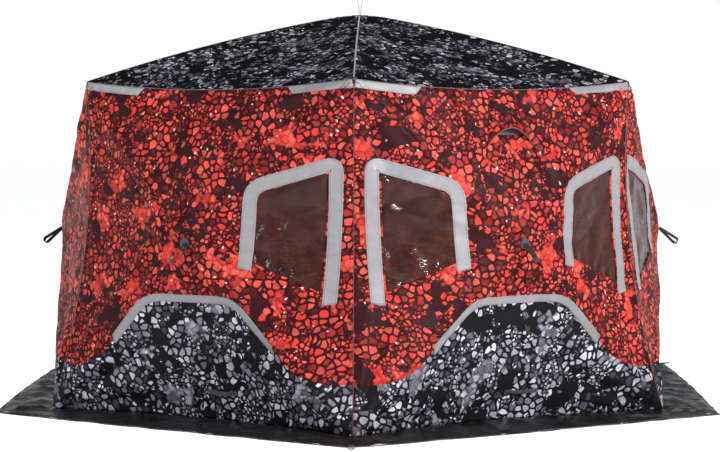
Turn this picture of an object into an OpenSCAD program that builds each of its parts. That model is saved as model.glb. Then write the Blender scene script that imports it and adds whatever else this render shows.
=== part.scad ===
// Six-sided pop-up ice fishing shelter with hub-and-pole walls and roof.
// Origin: middle of the floor, on the ground. +Z is up and -Y is the front corner.
// Every wall is drawn with its outward normal along +X, then turned to its place.

/* [Overall size] */
// Distance between opposite wall hubs, outside face to outside face
hub_span = 3650; // [3600:10:3700]
// Distance from the centre to a bottom corner
base_r = 2000; // [1980:5:2020]
// Distance from the centre to an eave corner
eave_r = 1775; // [1760:5:1790]
// Height of the eave corners
eave_h = 1856; // [1840:2:1870]
// Height of the middle of each eave
eave_mid_h = 1805; // [1795:1:1815]
// Height of the roof's apex
apex_h = 2270; // [2250:5:2290]
// Height of the wall hubs
hub_h = 980; // [960:5:1000]

/* [Fabric] */
// Thickness of the wall and roof fabric
fabric_t = 2; // [1.5:0.1:3]
// Thickness of the ground skirt
skirt_t = 3; // [2:0.5:4]
// Distance from the centre to a corner of the ground skirt
skirt_r = 2330; // [2300:5:2350]
// How far each corner seam is drawn in at half height
seam_draw = 100; // [80:5:120]
// How far the middle of a wall's bottom edge is drawn in
base_sag = 150; // [130:5:160]
// How far the roof poles bow the roof upwards
roof_bow = 30; // [20:1:40]
// Thickness of the clear window film
film_t = 0.8; // [0.5:0.1:1]
// Thickness of the reflective tape
tape_t = 1; // [0.8:0.1:1.2]

/* [Frame] */
// Radius of a pole
pole_r = 6; // [5:0.5:7]
// Radius of the plate of a wall hub
hub_plate_r = 75; // [70:1:78]
// Radius of a hinge pin in a hub
pin_r = 4; // [3.5:0.1:4.5]
// Distance from a wall hub's centre to its pins
pin_ring_r = 52; // [50:1:54]
// Distance from the roof hub's centre to its pins
roof_pin_ring_r = 78; // [76:1:80]

/* [Webbing] */
// Width of the pull loops' webbing
webbing_w = 24; // [18:1:28]
// Length of a wall hub's pull loop
wall_loop_l = 120; // [110:5:130]
// Length of the roof hub's pull loop
roof_loop_l = 82; // [76:2:90]

/* [Hidden] */
WALLS = [1:6];
CORNERS = ["top_left", "top_right", "base_left", "base_right"];
FIXED = ["roof_canopy", "snow_skirt", "window_films", "reflective_tape", "vent_hoods", "vent_meshes",
    "eave_corner_sockets", "base_corner_sockets", "skirt_grommets", "corner_tie_loops", "wall_straps",
    "door_flap", "door_zip_tape", "door_zip_slider", "roof_hub"];

// Walls with windows, by side: -1 is a wall's left half seen from outside, +1 its right half
WINDOWS = [[1, -1], [1, 1], [2, -1], [3, 1], [4, -1], [4, 1], [5, -1], [6, 1]];
VENTED = [1, 2, 4];
DOOR_WALL = 6;

$fn = 48;
side_steps = 8;
half_angle = 30;
slack = 0.3;
hub_x = hub_span / 2;
washer_t = 7;
face_x = hub_x - washer_t;
flat_r = 85;
bolt_hole_r = 14;
plate_t = 12;
plate_x = face_x - fabric_t - slack - plate_t;
pivot_x = plate_x - 22;
ear_w = 6;
ear_gap = 15;
ear_root = 3;
knuckle_w = 14.4;
knuckle_r = 10;
pin_clearance = 0.05;
neck_r = 5.5;
neck_start = 6;
neck_l = 22;
socket_r = 10;
socket_l = 94;
ferrule_r = 8;
ferrule_l = 50;
core_r = 26;
fork_gap = 20;
fork_t = 5;
fork_h = 40;
fork_l = 98;
roof_fork_l = 118;
tip_gap = 68;
roof_tip_gap = 92;
corner_inset = 52;
corner_drop = 62;
base_lift = 42;
roof_plate_r = 105;
roof_flat_r = 112;
roof_plate_z = apex_h - fabric_t - slack - plate_t;
roof_pivot_z = roof_plate_z - 22;
prism_x = 1300;
prism_l = 700;
bolt_r = 8;
washer_r = 30;
roof_washer_r = 50;
wall_eye_r = 18;
roof_eye_r = 13;
loop_band_t = 2;
loop_tilt = 38;
loop_twist = 40;
loop_root_r = loop_band_t + 1;
loop_lift = loop_root_r + 2 * slack + webbing_w / 2 * sin(loop_twist) * sin(loop_tilt);
grommet_ring_r = skirt_r - 60;
grommet_r = 8;
grommet_barrel_t = 1.8;
grommet_flange_w = 7;
grommet_flange_t = 1.5;

// ---------- points and directions ----------
function unit(p) = p / norm(p);
function polar(r, a, z) = [r * cos(a), r * sin(a), z];
function lerp(a, b, t) = a + (b - a) * t;
function wall_az(k) = -120 + 60 * k;
function corner_az(k) = -150 + 60 * k;
// A point moved straight towards the shelter's axis
function inset(p, d) = let (r = norm([p.x, p.y])) [p.x * (1 - d / r), p.y * (1 - d / r), p.z];
function turn(p, a) = [p.x * cos(a) - p.y * sin(a), p.x * sin(a) + p.y * cos(a), p.z];

// ---------- the curves that bound a wall ----------
function seam_r(v) = lerp(base_r, eave_r, v) - seam_draw * 4 * v * (1 - v);
function seam_pt(side, v) = polar(seam_r(v), half_angle * side, lerp(skirt_t, eave_h, v));
function base_pt(u) =
    [base_r * cos(half_angle) - base_sag * (1 - u * u), base_r * sin(half_angle) * u, skirt_t];
function eave_pt(u) = [eave_r * cos(half_angle), eave_r * sin(half_angle) * u,
    lerp(eave_h, eave_mid_h, 1 - u * u)];
RIM = concat(
    [for (i = [0:side_steps - 1]) base_pt(-1 + 2 * i / side_steps)],
    [for (i = [0:side_steps - 1]) seam_pt(1, i / side_steps)],
    [for (i = [0:side_steps - 1]) eave_pt(1 - 2 * i / side_steps)],
    [for (i = [0:side_steps - 1]) seam_pt(-1, 1 - i / side_steps)]);
function ring_pt(p, r) = let (d = unit([p.y, p.z - hub_h])) [face_x, r * d.x, hub_h + r * d.y];

// Triangles between two rings of n points that start at a and b
function band(a, b, n) = [for (i = [0:n - 1]) let (j = (i + 1) % n)
    each [[a + i, b + j, b + i], [a + i, a + j, b + j]]];
function flipped(faces) = [for (f = faces) [f[0], f[2], f[1]]];

// A closed skin made of rings of n points: outer rings first, then the same rings of the inner face
module skin(outer, inner, n, rings) {
    last = (rings - 1) * n;
    half = rings * n;
    points = concat(outer, inner);
    front = [for (r = [0:rings - 2]) each band(r * n, (r + 1) * n, n)];
    back = [for (r = [0:rings - 2]) each flipped(band(half + r * n, half + (r + 1) * n, n))];
    hole = band(half, 0, n);
    edge = band(last, half + last, n);
    polyhedron(points = points, faces = concat(front, back, hole, edge), convexity = 8);
}

// The wall's surface as a skin between two distances inside the fabric's outer face
module wall_skin(from, to) {
    n = len(RIM);
    function rings(d) = [for (q = [for (p = RIM) ring_pt(p, bolt_hole_r)]) inset(q, d),
        for (q = [for (p = RIM) ring_pt(p, flat_r)]) inset(q, d),
        for (p = RIM) inset(p, d)];
    skin(rings(from), rings(to), n, 3);
}

module on_wall(k) {
    rotate([0, 0, wall_az(k)]) children();
}

// An outline of [across, height] points pushed through the wall
module through_wall(points) {
    translate([prism_x, 0, 0]) rotate([90, 0, 90]) linear_extrude(prism_l) polygon(points);
}

// An outline whose points are [across, height, cut]: each corner is rounded from cut before to cut after it
function bezier(p, b, q, t) = (1 - t) * (1 - t) * p + 2 * t * (1 - t) * b + t * t * q;
function xy(p) = [p.x, p.y];
function rounded(points) = let (n = len(points)) [for (i = [0:n - 1])
    let (b = xy(points[i]), a = xy(points[(i + n - 1) % n]), c = xy(points[(i + 1) % n]), cut = points[i].z)
    each cut == 0 ? [b] : [for (s = [0:4]) bezier(b + unit(a - b) * cut, b, b + unit(c - b) * cut, s / 4)]];
function mirrored(points, side) = [for (p = points) [p.x * side, p.y]];

// ---------- outlines on a wall, [across, height, corner cut] ----------
WINDOW_TAPE = rounded([[828, 655, 0], [828, 1461, 70], [325, 1323, 90], [305, 840, 0],
    [362, 840, 0], [375, 1247, 50], [745, 1368, 14], [745, 690, 0]]);
WINDOW_HOLE = rounded([[742, 735, 10], [742, 1364, 14], [380, 1245, 50], [370, 885, 10]]);
WINDOW_FILM = rounded([[768, 708, 10], [768, 1394, 14], [356, 1258, 50], [346, 868, 10]]);
ARCH_TAPE = rounded([[-555, 425, 0], [-300, 700, 90], [300, 700, 90], [555, 425, 0],
    [500, 425, 0], [275, 657, 70], [-275, 657, 70], [-500, 425, 0]]);
EAVE_TAPE = [[482, 1776], [520, 1880], [883, 1900], [883, 1811]];
VENT_HOLE = rounded([[-80, 1560, 15], [120, 1560, 15], [85, 1750, 15], [-45, 1750, 15]]);
VENT_MESH = [[-95, 1545], [135, 1545], [97, 1765], [-57, 1765]];
DOOR = rounded([[-840, 1562, 20], [-470, 1342, 60], [-335, 1190, 80], [-308, 945, 60], [-900, 282, 20]]);
DOOR_TAPE_END = -828;
door_slit = 4;
zip_tape_w = 14;
zip_tape_t = 2;
ZIP_TOP = [1553, -806, 1549];
ZIP_RUN = [107, 292, -174];
slider_l = 28;
slider_t = 7;
slider_h = 13;
pull_l = 62;
pull_w = 7;
pull_t = 3;

// ---------- fabric ----------
module wall_cuts(k) {
    for (w = WINDOWS) if (w[0] == k) through_wall(mirrored(WINDOW_HOLE, w[1]));
    if (len([for (v = VENTED) if (v == k) v]) > 0) through_wall(VENT_HOLE);
    if (k == DOOR_WALL) through_wall(DOOR);
}

module wall_panel(k) {
    color([0.62, 0.12, 0.08]) on_wall(k) difference() {
        wall_skin(0, fabric_t);
        wall_cuts(k);
    }
}

module door_flap() {
    color([0.55, 0.10, 0.08]) on_wall(DOOR_WALL) intersection() {
        wall_skin(0, fabric_t);
        translate([prism_x, 0, 0]) rotate([90, 0, 90]) linear_extrude(prism_l)
            offset(delta = -door_slit) polygon(DOOR);
    }
}

module door_zip_tape() {
    color([0.05, 0.05, 0.05]) on_wall(DOOR_WALL) intersection() {
        wall_skin(fabric_t + 2 * slack, fabric_t + 2 * slack + zip_tape_t);
        translate([prism_x, 0, 0]) rotate([90, 0, 90]) linear_extrude(prism_l) difference() {
            offset(delta = zip_tape_w) polygon(DOOR);
            offset(delta = -zip_tape_w) polygon(DOOR);
            translate([DOOR_TAPE_END - 200, 0]) square([200, eave_h]);
        }
    }
}

// The slider stands over the wall's side of the zip, at the upper end, and runs down the upper edge
module door_zip_slider() {
    run = unit(ZIP_RUN);
    color([0.1, 0.1, 0.1]) on_wall(DOOR_WALL) translate(ZIP_TOP) rotate([0, 0, -atan2(run.x, run.y)])
        rotate([-asin(-run.z), 0, 0]) {
            translate([0, -slider_l / 2, 0]) cube([slider_t, slider_l, slider_h]);
            translate([slider_t + slack, -slider_l / 3, (slider_h - pull_w) / 2])
                cube([pull_t, pull_l, pull_w]);
        }
}

module roof_canopy() {
    n = 6 * side_steps;
    fractions = [0, 0.2, 0.45, 0.72, 1];
    eave = [for (k = [0:5]) for (i = [0:side_steps - 1]) turn(eave_pt(-1 + 2 * i / side_steps), 60 * k)];
    function roof_pt(p, f) = let (q = lerp(polar(roof_flat_r, atan2(p.y, p.x), apex_h - fabric_t), p, f))
        [q.x, q.y, q.z + roof_bow * 4 * f * (1 - f)];
    function ring(z) = concat(
        [for (p = eave) polar(bolt_hole_r, atan2(p.y, p.x), apex_h - fabric_t + z)],
        [for (f = fractions) for (p = eave) let (q = roof_pt(p, f)) [q.x, q.y, q.z + z]]);
    color([0.16, 0.16, 0.18]) skin(ring(fabric_t), ring(0), n, len(fractions) + 1);
}

module snow_skirt() {
    bow = 22;
    tuck = 30;
    outer = [for (k = [0:5]) for (i = [0:side_steps - 1])
        let (s = i / side_steps, p = lerp(polar(skirt_r, -30, 0), polar(skirt_r, 30, 0), s))
        turn([p.x + bow * 4 * s * (1 - s), p.y, 0], 60 * k)];
    inner = [for (k = [0:5]) for (i = [0:side_steps - 1])
        turn(inset(base_pt(-1 + 2 * i / side_steps), tuck), 60 * k)];
    color([0.07, 0.07, 0.08]) difference() {
        linear_extrude(skirt_t) difference() {
            polygon([for (p = outer) xy(p)]);
            polygon([for (p = inner) xy(p)]);
        }
        for (k = WALLS) translate(polar(grommet_ring_r, corner_az(k), -1))
            cylinder(r = grommet_r + grommet_barrel_t + slack, h = skirt_t + 2);
    }
}
module skirt_grommets() {
    color([0.6, 0.6, 0.6]) for (k = WALLS) translate(polar(grommet_ring_r, corner_az(k), 0)) difference() {
        union() {
            translate([0, 0, slack]) cylinder(r = grommet_r + grommet_barrel_t, h = skirt_t + grommet_flange_t);
            translate([0, 0, skirt_t + slack]) cylinder(r = grommet_r + grommet_flange_w, h = grommet_flange_t);
        }
        translate([0, 0, -1]) cylinder(r = grommet_r, h = skirt_t + 5);
    }
}

module window_films() {
    color([0.35, 0.33, 0.32, 0.5]) for (w = WINDOWS) on_wall(w[0]) intersection() {
        wall_skin(fabric_t + slack, fabric_t + slack + film_t);
        through_wall(mirrored(WINDOW_FILM, w[1]));
    }
}

module vent_meshes() {
    color([0.1, 0.1, 0.1]) for (k = VENTED) on_wall(k) intersection() {
        wall_skin(fabric_t + slack, fabric_t + slack + film_t);
        through_wall(VENT_MESH);
    }
}

module reflective_tape() {
    color([0.75, 0.75, 0.78]) {
        for (w = WINDOWS) taped(w[0], mirrored(WINDOW_TAPE, w[1]));
        for (k = WALLS) {
            taped(k, ARCH_TAPE);
            taped(k, EAVE_TAPE);
            taped(k, mirrored(EAVE_TAPE, -1));
        }
    }
}

module taped(k, points) {
    on_wall(k) intersection() {
        wall_skin(-slack - tape_t, -slack);
        through_wall(points);
    }
}

// A hood over each vent: a sheet from the eave to an arched lip that stands off the wall
module vent_hoods() {
    steps = 8;
    middle = 20;
    top_half = 80;
    lip_half = 148;
    lip_h = 1505;
    lip_rise = 78;
    stand_off = 46;
    slope = (face_x - eave_r * cos(half_angle)) / (eave_mid_h - hub_h - flat_r);
    function fabric_x(z) = eave_r * cos(half_angle) + (eave_mid_h - z) * slope + 5;
    top = [for (i = [0:steps]) let (w = -1 + 2 * i / steps)
        [fabric_x(1792), middle + top_half * w, 1792]];
    lip = [for (i = [0:steps]) let (w = -1 + 2 * i / steps, rise = 1 - w * w, z = lip_h + lip_rise * rise)
        [fabric_x(z) + stand_off * rise, middle + lip_half * w, z]];
    n = steps + 1;
    back = [for (p = concat(top, lip)) p - [fabric_t, 0, 0]];
    front_faces = [for (i = [0:steps - 1]) each [[i, n + i, n + i + 1], [i, n + i + 1, i + 1]]];
    back_faces = [for (f = front_faces) [f[0] + 2 * n, f[2] + 2 * n, f[1] + 2 * n]];
    top_edge = [for (i = [0:steps - 1]) each [[i, i + 1, 2 * n + i + 1], [i, 2 * n + i + 1, 2 * n + i]]];
    lip_edge = [for (i = [0:steps - 1])
        each [[n + i, 3 * n + i, 3 * n + i + 1], [n + i, 3 * n + i + 1, n + i + 1]]];
    left_edge = [[0, 2 * n, 3 * n], [0, 3 * n, n]];
    right_edge = [[steps, n + steps, 3 * n + steps], [steps, 3 * n + steps, 2 * n + steps]];
    color([0.55, 0.12, 0.08]) for (k = VENTED) on_wall(k) polyhedron(
        points = concat(top, lip, back),
        faces = flipped(concat(front_faces, back_faces, top_edge, lip_edge, left_edge, right_edge)),
        convexity = 4);
}

// ---------- webbing ----------
// A drop-shaped outline: a small round end at the origin and a larger one at the far end
function drop(l, r0, r1) = let (tilt = asin((r1 - r0) / l)) concat(
    [for (a = [-90 - tilt:15:90 + tilt]) [l + r1 * cos(a), r1 * sin(a)]],
    [for (a = [90 + tilt:15:270 - tilt]) [r0 * cos(a), r0 * sin(a)]]);

module pull_loop(l, eye_r) {
    rotate([90, 0, 0]) translate([0, 0, -webbing_w / 2]) linear_extrude(webbing_w) difference() {
        polygon(drop(l, loop_root_r, eye_r + loop_band_t));
        polygon(drop(l, 1, eye_r));
    }
}

module corner_tie_loops() {
    cord_r = 3;
    half_w = 14;
    straight = 62;
    lift = skirt_t + slack + cord_r;
    color([0.08, 0.08, 0.08]) for (k = WALLS) rotate([0, 0, corner_az(k)])
        translate([skirt_r - 22, 0, lift]) {
            for (y = [-half_w, half_w]) translate([0, y, 0]) rotate([0, 90, 0])
                cylinder(r = cord_r, h = straight);
            rotate([0, 0, 90]) rotate_extrude(angle = 180) translate([half_w, 0]) circle(cord_r);
            translate([straight, 0, 0]) rotate([0, 0, -90]) rotate_extrude(angle = 180)
                translate([half_w, 0]) circle(cord_r);
        }
}

module wall_straps() {
    half_l = 85;
    strap_t = 2;
    stand_off = 16;
    foot_x = 1634;
    strap_z = 150;
    strap_y = 105;
    bow = [for (i = [0:8]) let (w = -1 + i / 4) [stand_off * (1 - w * w), half_l * w]];
    outline = concat([for (p = bow) p + [strap_t, 0]], [for (i = [8:-1:0]) bow[i]]);
    color([0.05, 0.05, 0.05]) for (k = WALLS) on_wall(k) translate([foot_x, strap_y, strap_z])
        linear_extrude(webbing_w) polygon(outline);
}

// ---------- frame ----------
// A wall pole runs from its pin in the hub to a corner; side is -1 left or +1 right, top is true or false
function corner_core(side, top) = top
    ? polar(eave_r - corner_inset, half_angle * side, eave_h - corner_drop)
    : polar(base_r - corner_inset, half_angle * side, base_lift);
function pivot(side, top) = let (c = corner_core(side, top), d = unit([c.y, c.z - hub_h]))
    [pivot_x, pin_ring_r * d.x, hub_h + pin_ring_r * d.y];
function roof_core() = [eave_r - corner_inset, 0, eave_h - corner_drop + 8];
roof_pivot = [roof_pin_ring_r, 0, roof_pivot_z];

// Turns +Z to the direction d
module along(d) {
    rotate([0, acos(d.z / norm(d)), atan2(d.y, d.x)]) children();
}

// A pole with its hub fitting at the origin; it points along d, and axis is its pin's direction
module pole(d, axis, gap) {
    l = norm(d) - gap;
    profile = [[0, neck_start], [neck_r, neck_start], [neck_r, neck_l], [socket_r, neck_l + 4],
        [socket_r, socket_l], [pole_r, socket_l], [pole_r, l - ferrule_l], [ferrule_r, l - ferrule_l],
        [ferrule_r, l - 3], [ferrule_r - 3, l], [0, l]];
    difference() {
        union() {
            along(axis) translate([0, 0, -knuckle_w / 2]) cylinder(r = knuckle_r, h = knuckle_w);
            along(d) rotate_extrude() polygon(profile);
        }
        along(axis) translate([0, 0, -knuckle_w]) cylinder(r = pin_r + pin_clearance, h = 2 * knuckle_w);
    }
}

module wall_pole(k, side, top) {
    from = pivot(side, top);
    d = corner_core(side, top) - from;
    color([0.25, 0.25, 0.27]) on_wall(k) translate(from) pole(d, [0, -d.z, d.y], tip_gap);
}

module roof_pole(k) {
    d = roof_core() - roof_pivot;
    color([0.25, 0.25, 0.27]) rotate([0, 0, corner_az(k)]) translate(roof_pivot)
        pole(d, [0, 1, 0], roof_tip_gap);
}

// Two ears and the pin between them, standing up from z = 0 to the pin; the pin lies along Y
module ears(h) {
    for (y = [-ear_gap / 2 - ear_w, ear_gap / 2]) {
        translate([-knuckle_r, y, -ear_root]) cube([2 * knuckle_r, ear_w, h + ear_root]);
        translate([0, y, h]) rotate([-90, 0, 0]) cylinder(r = knuckle_r, h = ear_w);
    }
    translate([0, -ear_gap / 2 - ear_w, h]) rotate([-90, 0, 0]) cylinder(r = pin_r, h = ear_gap + 2 * ear_w);
}

module wall_hub(k) {
    color([0.08, 0.08, 0.09]) on_wall(k) {
        translate([0, 0, hub_h]) rotate([0, 90, 0]) {
            translate([0, 0, plate_x]) cylinder(r = hub_plate_r, h = plate_t);
            translate([0, 0, plate_x]) cylinder(r = bolt_r, h = washer_t + plate_t + fabric_t);
            translate([0, 0, face_x + slack]) cylinder(r = washer_r, h = washer_t - slack);
        }
        for (side = [-1, 1]) for (top = [true, false]) {
            p = pivot(side, top);
            translate([plate_x, p.y, p.z]) rotate([atan2(p.z - hub_h, p.y) - 90, 0, 0])
                rotate([0, -90, 0]) ears(plate_x - pivot_x);
        }
        translate([hub_x + loop_lift, 0, hub_h]) rotate([0, loop_tilt, 0]) rotate([loop_twist, 0, 0])
            pull_loop(wall_loop_l, wall_eye_r);
    }
}

module roof_hub() {
    color([0.08, 0.08, 0.09]) {
        translate([0, 0, roof_plate_z]) cylinder(r = roof_plate_r, h = plate_t);
        translate([0, 0, roof_plate_z]) cylinder(r = bolt_r, h = plate_t + fabric_t + washer_t);
        translate([0, 0, apex_h + slack]) cylinder(r = roof_washer_r, h = washer_t - slack);
        for (k = WALLS) rotate([0, 0, corner_az(k)])
            translate([roof_pin_ring_r, 0, roof_plate_z]) rotate([180, 0, 0]) ears(roof_plate_z - roof_pivot_z);
        translate([0, 0, apex_h + washer_t + loop_root_r + slack]) rotate([0, -90, 0])
            pull_loop(roof_loop_l, roof_eye_r);
    }
}

// Turns +X to the direction d, with the plane of d and n upright
module facing(d, n) {
    x = unit(d);
    y = unit(cross(n, d));
    z = cross(x, y);
    multmatrix([[x.x, y.x, z.x, 0], [x.y, y.y, z.y, 0], [x.z, y.z, z.z, 0], [0, 0, 0, 1]]) children();
}

// Two cheeks that a pole's end swings and slides between
module fork(l) {
    for (y = [-fork_gap / 2 - fork_t, fork_gap / 2]) {
        translate([0, y, -fork_h / 2]) cube([l - fork_h / 2, fork_t, fork_h]);
        translate([l - fork_h / 2, y, 0]) rotate([-90, 0, 0]) cylinder(r = fork_h / 2, h = fork_t);
    }
}

// A corner socket: a core with one fork for each pole
// ways are the forks' [direction, length, the skin's normal]
module corner_socket(ways) {
    sphere(core_r);
    for (w = ways) facing(w[0], w[2]) fork(w[1]);
}

module eave_corner_sockets() {
    core = [eave_r - corner_inset, 0, eave_h - corner_drop];
    left = turn(pivot(1, true), -half_angle) - core;
    right = turn(pivot(-1, true), half_angle) - core;
    up = roof_pivot - core;
    color([0.1, 0.1, 0.11]) for (k = WALLS) rotate([0, 0, corner_az(k)]) translate(core) corner_socket([
        [left, fork_l, polar(1, -half_angle, 0)],
        [right, fork_l, polar(1, half_angle, 0)],
        [up, roof_fork_l, [0, 0, 1]]]);
}

module base_corner_sockets() {
    core = [base_r - corner_inset, 0, base_lift];
    left = turn(pivot(1, false), -half_angle) - core;
    right = turn(pivot(-1, false), half_angle) - core;
    color([0.1, 0.1, 0.11]) for (k = WALLS) rotate([0, 0, corner_az(k)]) translate(core) corner_socket([
        [left, fork_l, polar(1, -half_angle, 0)],
        [right, fork_l, polar(1, half_angle, 0)]]);
}

roof_canopy();
snow_skirt();
window_films();
reflective_tape();
vent_hoods();
vent_meshes();
eave_corner_sockets();
base_corner_sockets();
skirt_grommets();
corner_tie_loops();
wall_straps();
door_flap();
door_zip_tape();
door_zip_slider();
roof_hub();
for (k = WALLS) {
    wall_panel(k);
    wall_hub(k);
    roof_pole(k);
    wall_pole(k, -1, true);
    wall_pole(k, 1, true);
    wall_pole(k, -1, false);
    wall_pole(k, 1, false);
}
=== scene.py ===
"""A six-sided pop-up ice fishing shelter: its fabrics, films and fittings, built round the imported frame.

Metres, +Z up. Every wall is worked out with its outward normal along +X, as points
(across, height), and is then turned to its place.
"""
import math

import bpy
import numpy as np
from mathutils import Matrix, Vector
from mathutils.geometry import delaunay_2d_cdt


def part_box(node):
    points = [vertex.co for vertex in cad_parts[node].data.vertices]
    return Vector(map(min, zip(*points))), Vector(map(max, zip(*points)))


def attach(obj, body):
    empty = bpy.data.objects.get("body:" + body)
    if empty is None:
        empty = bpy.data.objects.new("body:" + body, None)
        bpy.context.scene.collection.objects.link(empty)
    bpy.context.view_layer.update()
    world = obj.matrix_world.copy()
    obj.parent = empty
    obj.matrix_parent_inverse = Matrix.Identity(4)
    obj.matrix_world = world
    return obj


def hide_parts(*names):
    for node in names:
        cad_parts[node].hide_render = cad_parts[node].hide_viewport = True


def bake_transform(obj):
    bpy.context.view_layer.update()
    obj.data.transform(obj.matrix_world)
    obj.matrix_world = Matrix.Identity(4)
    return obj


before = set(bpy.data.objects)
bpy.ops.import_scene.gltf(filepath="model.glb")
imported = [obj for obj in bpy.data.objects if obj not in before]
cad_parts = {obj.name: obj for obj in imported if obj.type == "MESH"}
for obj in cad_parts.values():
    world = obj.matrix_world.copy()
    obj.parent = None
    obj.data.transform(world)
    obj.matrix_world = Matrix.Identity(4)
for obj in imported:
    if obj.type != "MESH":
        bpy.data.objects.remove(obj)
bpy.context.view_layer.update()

# ---------- driving dimensions, the same as the part's ----------
BASE_R = 2.000
EAVE_R = 1.775
EAVE_H = 1.856
EAVE_MID_H = 1.805
APEX_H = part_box("roof_canopy")[1].z
HUB_H = 0.980
FACE_X = 1.818
FLAT_R = 0.085
ROOF_FLAT_R = 0.112
SEAM_DRAW = 0.100
BASE_SAG = 0.150
ROOF_BOW = 0.030
SKIRT_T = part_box("snow_skirt")[1].z
SKIRT_R = 2.330
CLOTH_T = 0.0012
TAPE_W = 0.042
WINDOW_TAPE_W = 0.074
HALF = math.radians(30)
WALLS = range(1, 7)
FACETS = ("right", "top", "left", "bottom")

# Walls with windows, by side: -1 is a wall's left half seen from outside, +1 its right half
WINDOWS = ((1, -1), (1, 1), (2, -1), (3, 1), (4, -1), (4, 1), (5, -1), (6, 1))
VENTED = (1, 2, 4)
DOOR_WALL = 6


# ---------- numbers: noise, turning, outlines ----------
def wall_turn(k):
    return math.radians(-120 + 60 * k)


def corner_turn(k):
    return math.radians(-150 + 60 * k)


def turned(p, angle):
    c, s = math.cos(angle), math.sin(angle)
    p = np.asarray(p, float)
    return np.stack([p[..., 0] * c - p[..., 1] * s, p[..., 0] * s + p[..., 1] * c, p[..., 2]], -1)


def smooth(t):
    t = np.clip(t, 0, 1)
    return t * t * (3 - 2 * t)


def lattice(ix, iy, seed):
    """A repeatable random number from 0 to 1 for each whole-number point."""
    h = np.sin(ix * 127.1 + iy * 311.7 + seed * 74.7) * 43758.5453
    return h - np.floor(h)


def noise(x, y, seed=0):
    """Smooth noise from -1 to 1 with features about one unit across."""
    x, y = np.asarray(x, float), np.asarray(y, float)
    ix, iy = np.floor(x), np.floor(y)
    fx, fy = smooth(x - ix), smooth(y - iy)
    a, b = lattice(ix, iy, seed), lattice(ix + 1, iy, seed)
    c, d = lattice(ix, iy + 1, seed), lattice(ix + 1, iy + 1, seed)
    return 2 * ((a * (1 - fx) + b * fx) * (1 - fy) + (c * (1 - fx) + d * fx) * fy) - 1


def ridged(x, y, seed=0):
    """Sharp-crested noise from 0 to 1, like the creases of a coated cloth."""
    return (1 - np.abs(noise(x, y, seed))) ** 3


def rounded(points):
    """An outline of (across, height, cut) points, each corner turned into a curve over its cut."""
    out, n = [], len(points)
    for i, (x, y, cut) in enumerate(points):
        b = np.array([x, y])
        if cut == 0:
            out.append(b)
            continue
        before = b - np.array(points[i - 1][:2])
        after = np.array(points[(i + 1) % n][:2]) - b
        p = b - before / np.linalg.norm(before) * cut
        q = b + after / np.linalg.norm(after) * cut
        out += [(1 - t) ** 2 * p + 2 * t * (1 - t) * b + t * t * q for t in np.linspace(0, 1, 7)]
    return np.array(out)


def mirrored(points, side):
    return np.asarray(points) * [side, 1]


def dense(points, step, closed=True):
    """The same line with points no further apart than step."""
    points = np.asarray(points, float)
    ends = np.vstack([points, points[:1]]) if closed else points
    out = []
    for a, b in zip(ends[:-1], ends[1:]):
        n = max(1, int(math.ceil(np.linalg.norm(b - a) / step)))
        out += [a + (b - a) * i / n for i in range(n)]
    return np.array(out if closed else out + [ends[-1]])


def inside(points, outline):
    """Which points lie inside a closed outline."""
    x, y = points[:, 0], points[:, 1]
    hit = np.zeros(len(points), bool)
    for a, b in zip(outline, np.roll(outline, -1, 0)):
        crosses = (a[1] > y) != (b[1] > y)
        at = a[0] + (y - a[1]) * (b[0] - a[0]) / (b[1] - a[1] + 1e-12)
        hit ^= crosses & (x < at)
    return hit


def distance_to(points, line, closed=False):
    """Each point's distance to a line of points."""
    ends = np.vstack([line, line[:1]]) if closed else line
    best = np.full(len(points), 9.0)
    for a, b in zip(ends[:-1], ends[1:]):
        d = b - a
        t = np.clip(((points - a) @ d) / max(d @ d, 1e-12), 0, 1)
        best = np.minimum(best, np.linalg.norm(points - a - t[:, None] * d, axis=1))
    return best


# ---------- outlines on a wall ----------
WINDOW_HOLE = rounded([(.742, .735, .010), (.742, 1.364, .014), (.380, 1.245, .050), (.370, .885, .010)])
WINDOW_FILM = rounded([(.768, .708, .010), (.768, 1.394, .014), (.356, 1.258, .050), (.346, .868, .010)])
WINDOW_TAPE = rounded([(.790, .672, 0), (.790, 1.415, .050), (.352, 1.284, .080), (.334, .846, 0)])
ARCH_TAPE = rounded([(-.528, .430, 0), (-.288, .678, .090), (.288, .678, .090), (.528, .430, 0)])
VENT_HOLE = rounded([(-.080, 1.560, .015), (.120, 1.560, .015), (.085, 1.750, .015), (-.045, 1.750, .015)])
VENT_MESH = np.array([(-.095, 1.545), (.135, 1.545), (.097, 1.765), (-.057, 1.765)])
DOOR = rounded([(-.840, 1.562, .020), (-.470, 1.342, .060), (-.335, 1.190, .080), (-.308, .945, .060),
                (-.900, .282, .020)])
# Where the red cloth meets the grey one below it, between the arch's feet and the corners
HEM_LINE = rounded([(-1.1, .262, 0), (-.80, .262, .06), (-.640, .318, .05), (-.528, .430, 0),
                    (-.288, .678, .090), (.288, .678, .090), (.528, .430, 0), (.640, .318, .05),
                    (.80, .262, .06), (1.1, .262, 0)])


# ---------- the wall's surface ----------
def seam_r(v):
    return BASE_R + (EAVE_R - BASE_R) * v - SEAM_DRAW * 4 * v * (1 - v)


def base_line(u):
    return np.stack([BASE_R * math.cos(HALF) - BASE_SAG * (1 - u * u), BASE_R * math.sin(HALF) * u,
                     SKIRT_T + 0 * u], -1)


def eave_line(u):
    return np.stack([EAVE_R * math.cos(HALF) + 0 * u, EAVE_R * math.sin(HALF) * u,
                     EAVE_H + (EAVE_MID_H - EAVE_H) * (1 - u * u)], -1)


def seam_line(side, v):
    return np.stack([seam_r(v) * math.cos(HALF), side * seam_r(v) * math.sin(HALF),
                     SKIRT_T + (EAVE_H - SKIRT_T) * v], -1)


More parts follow.
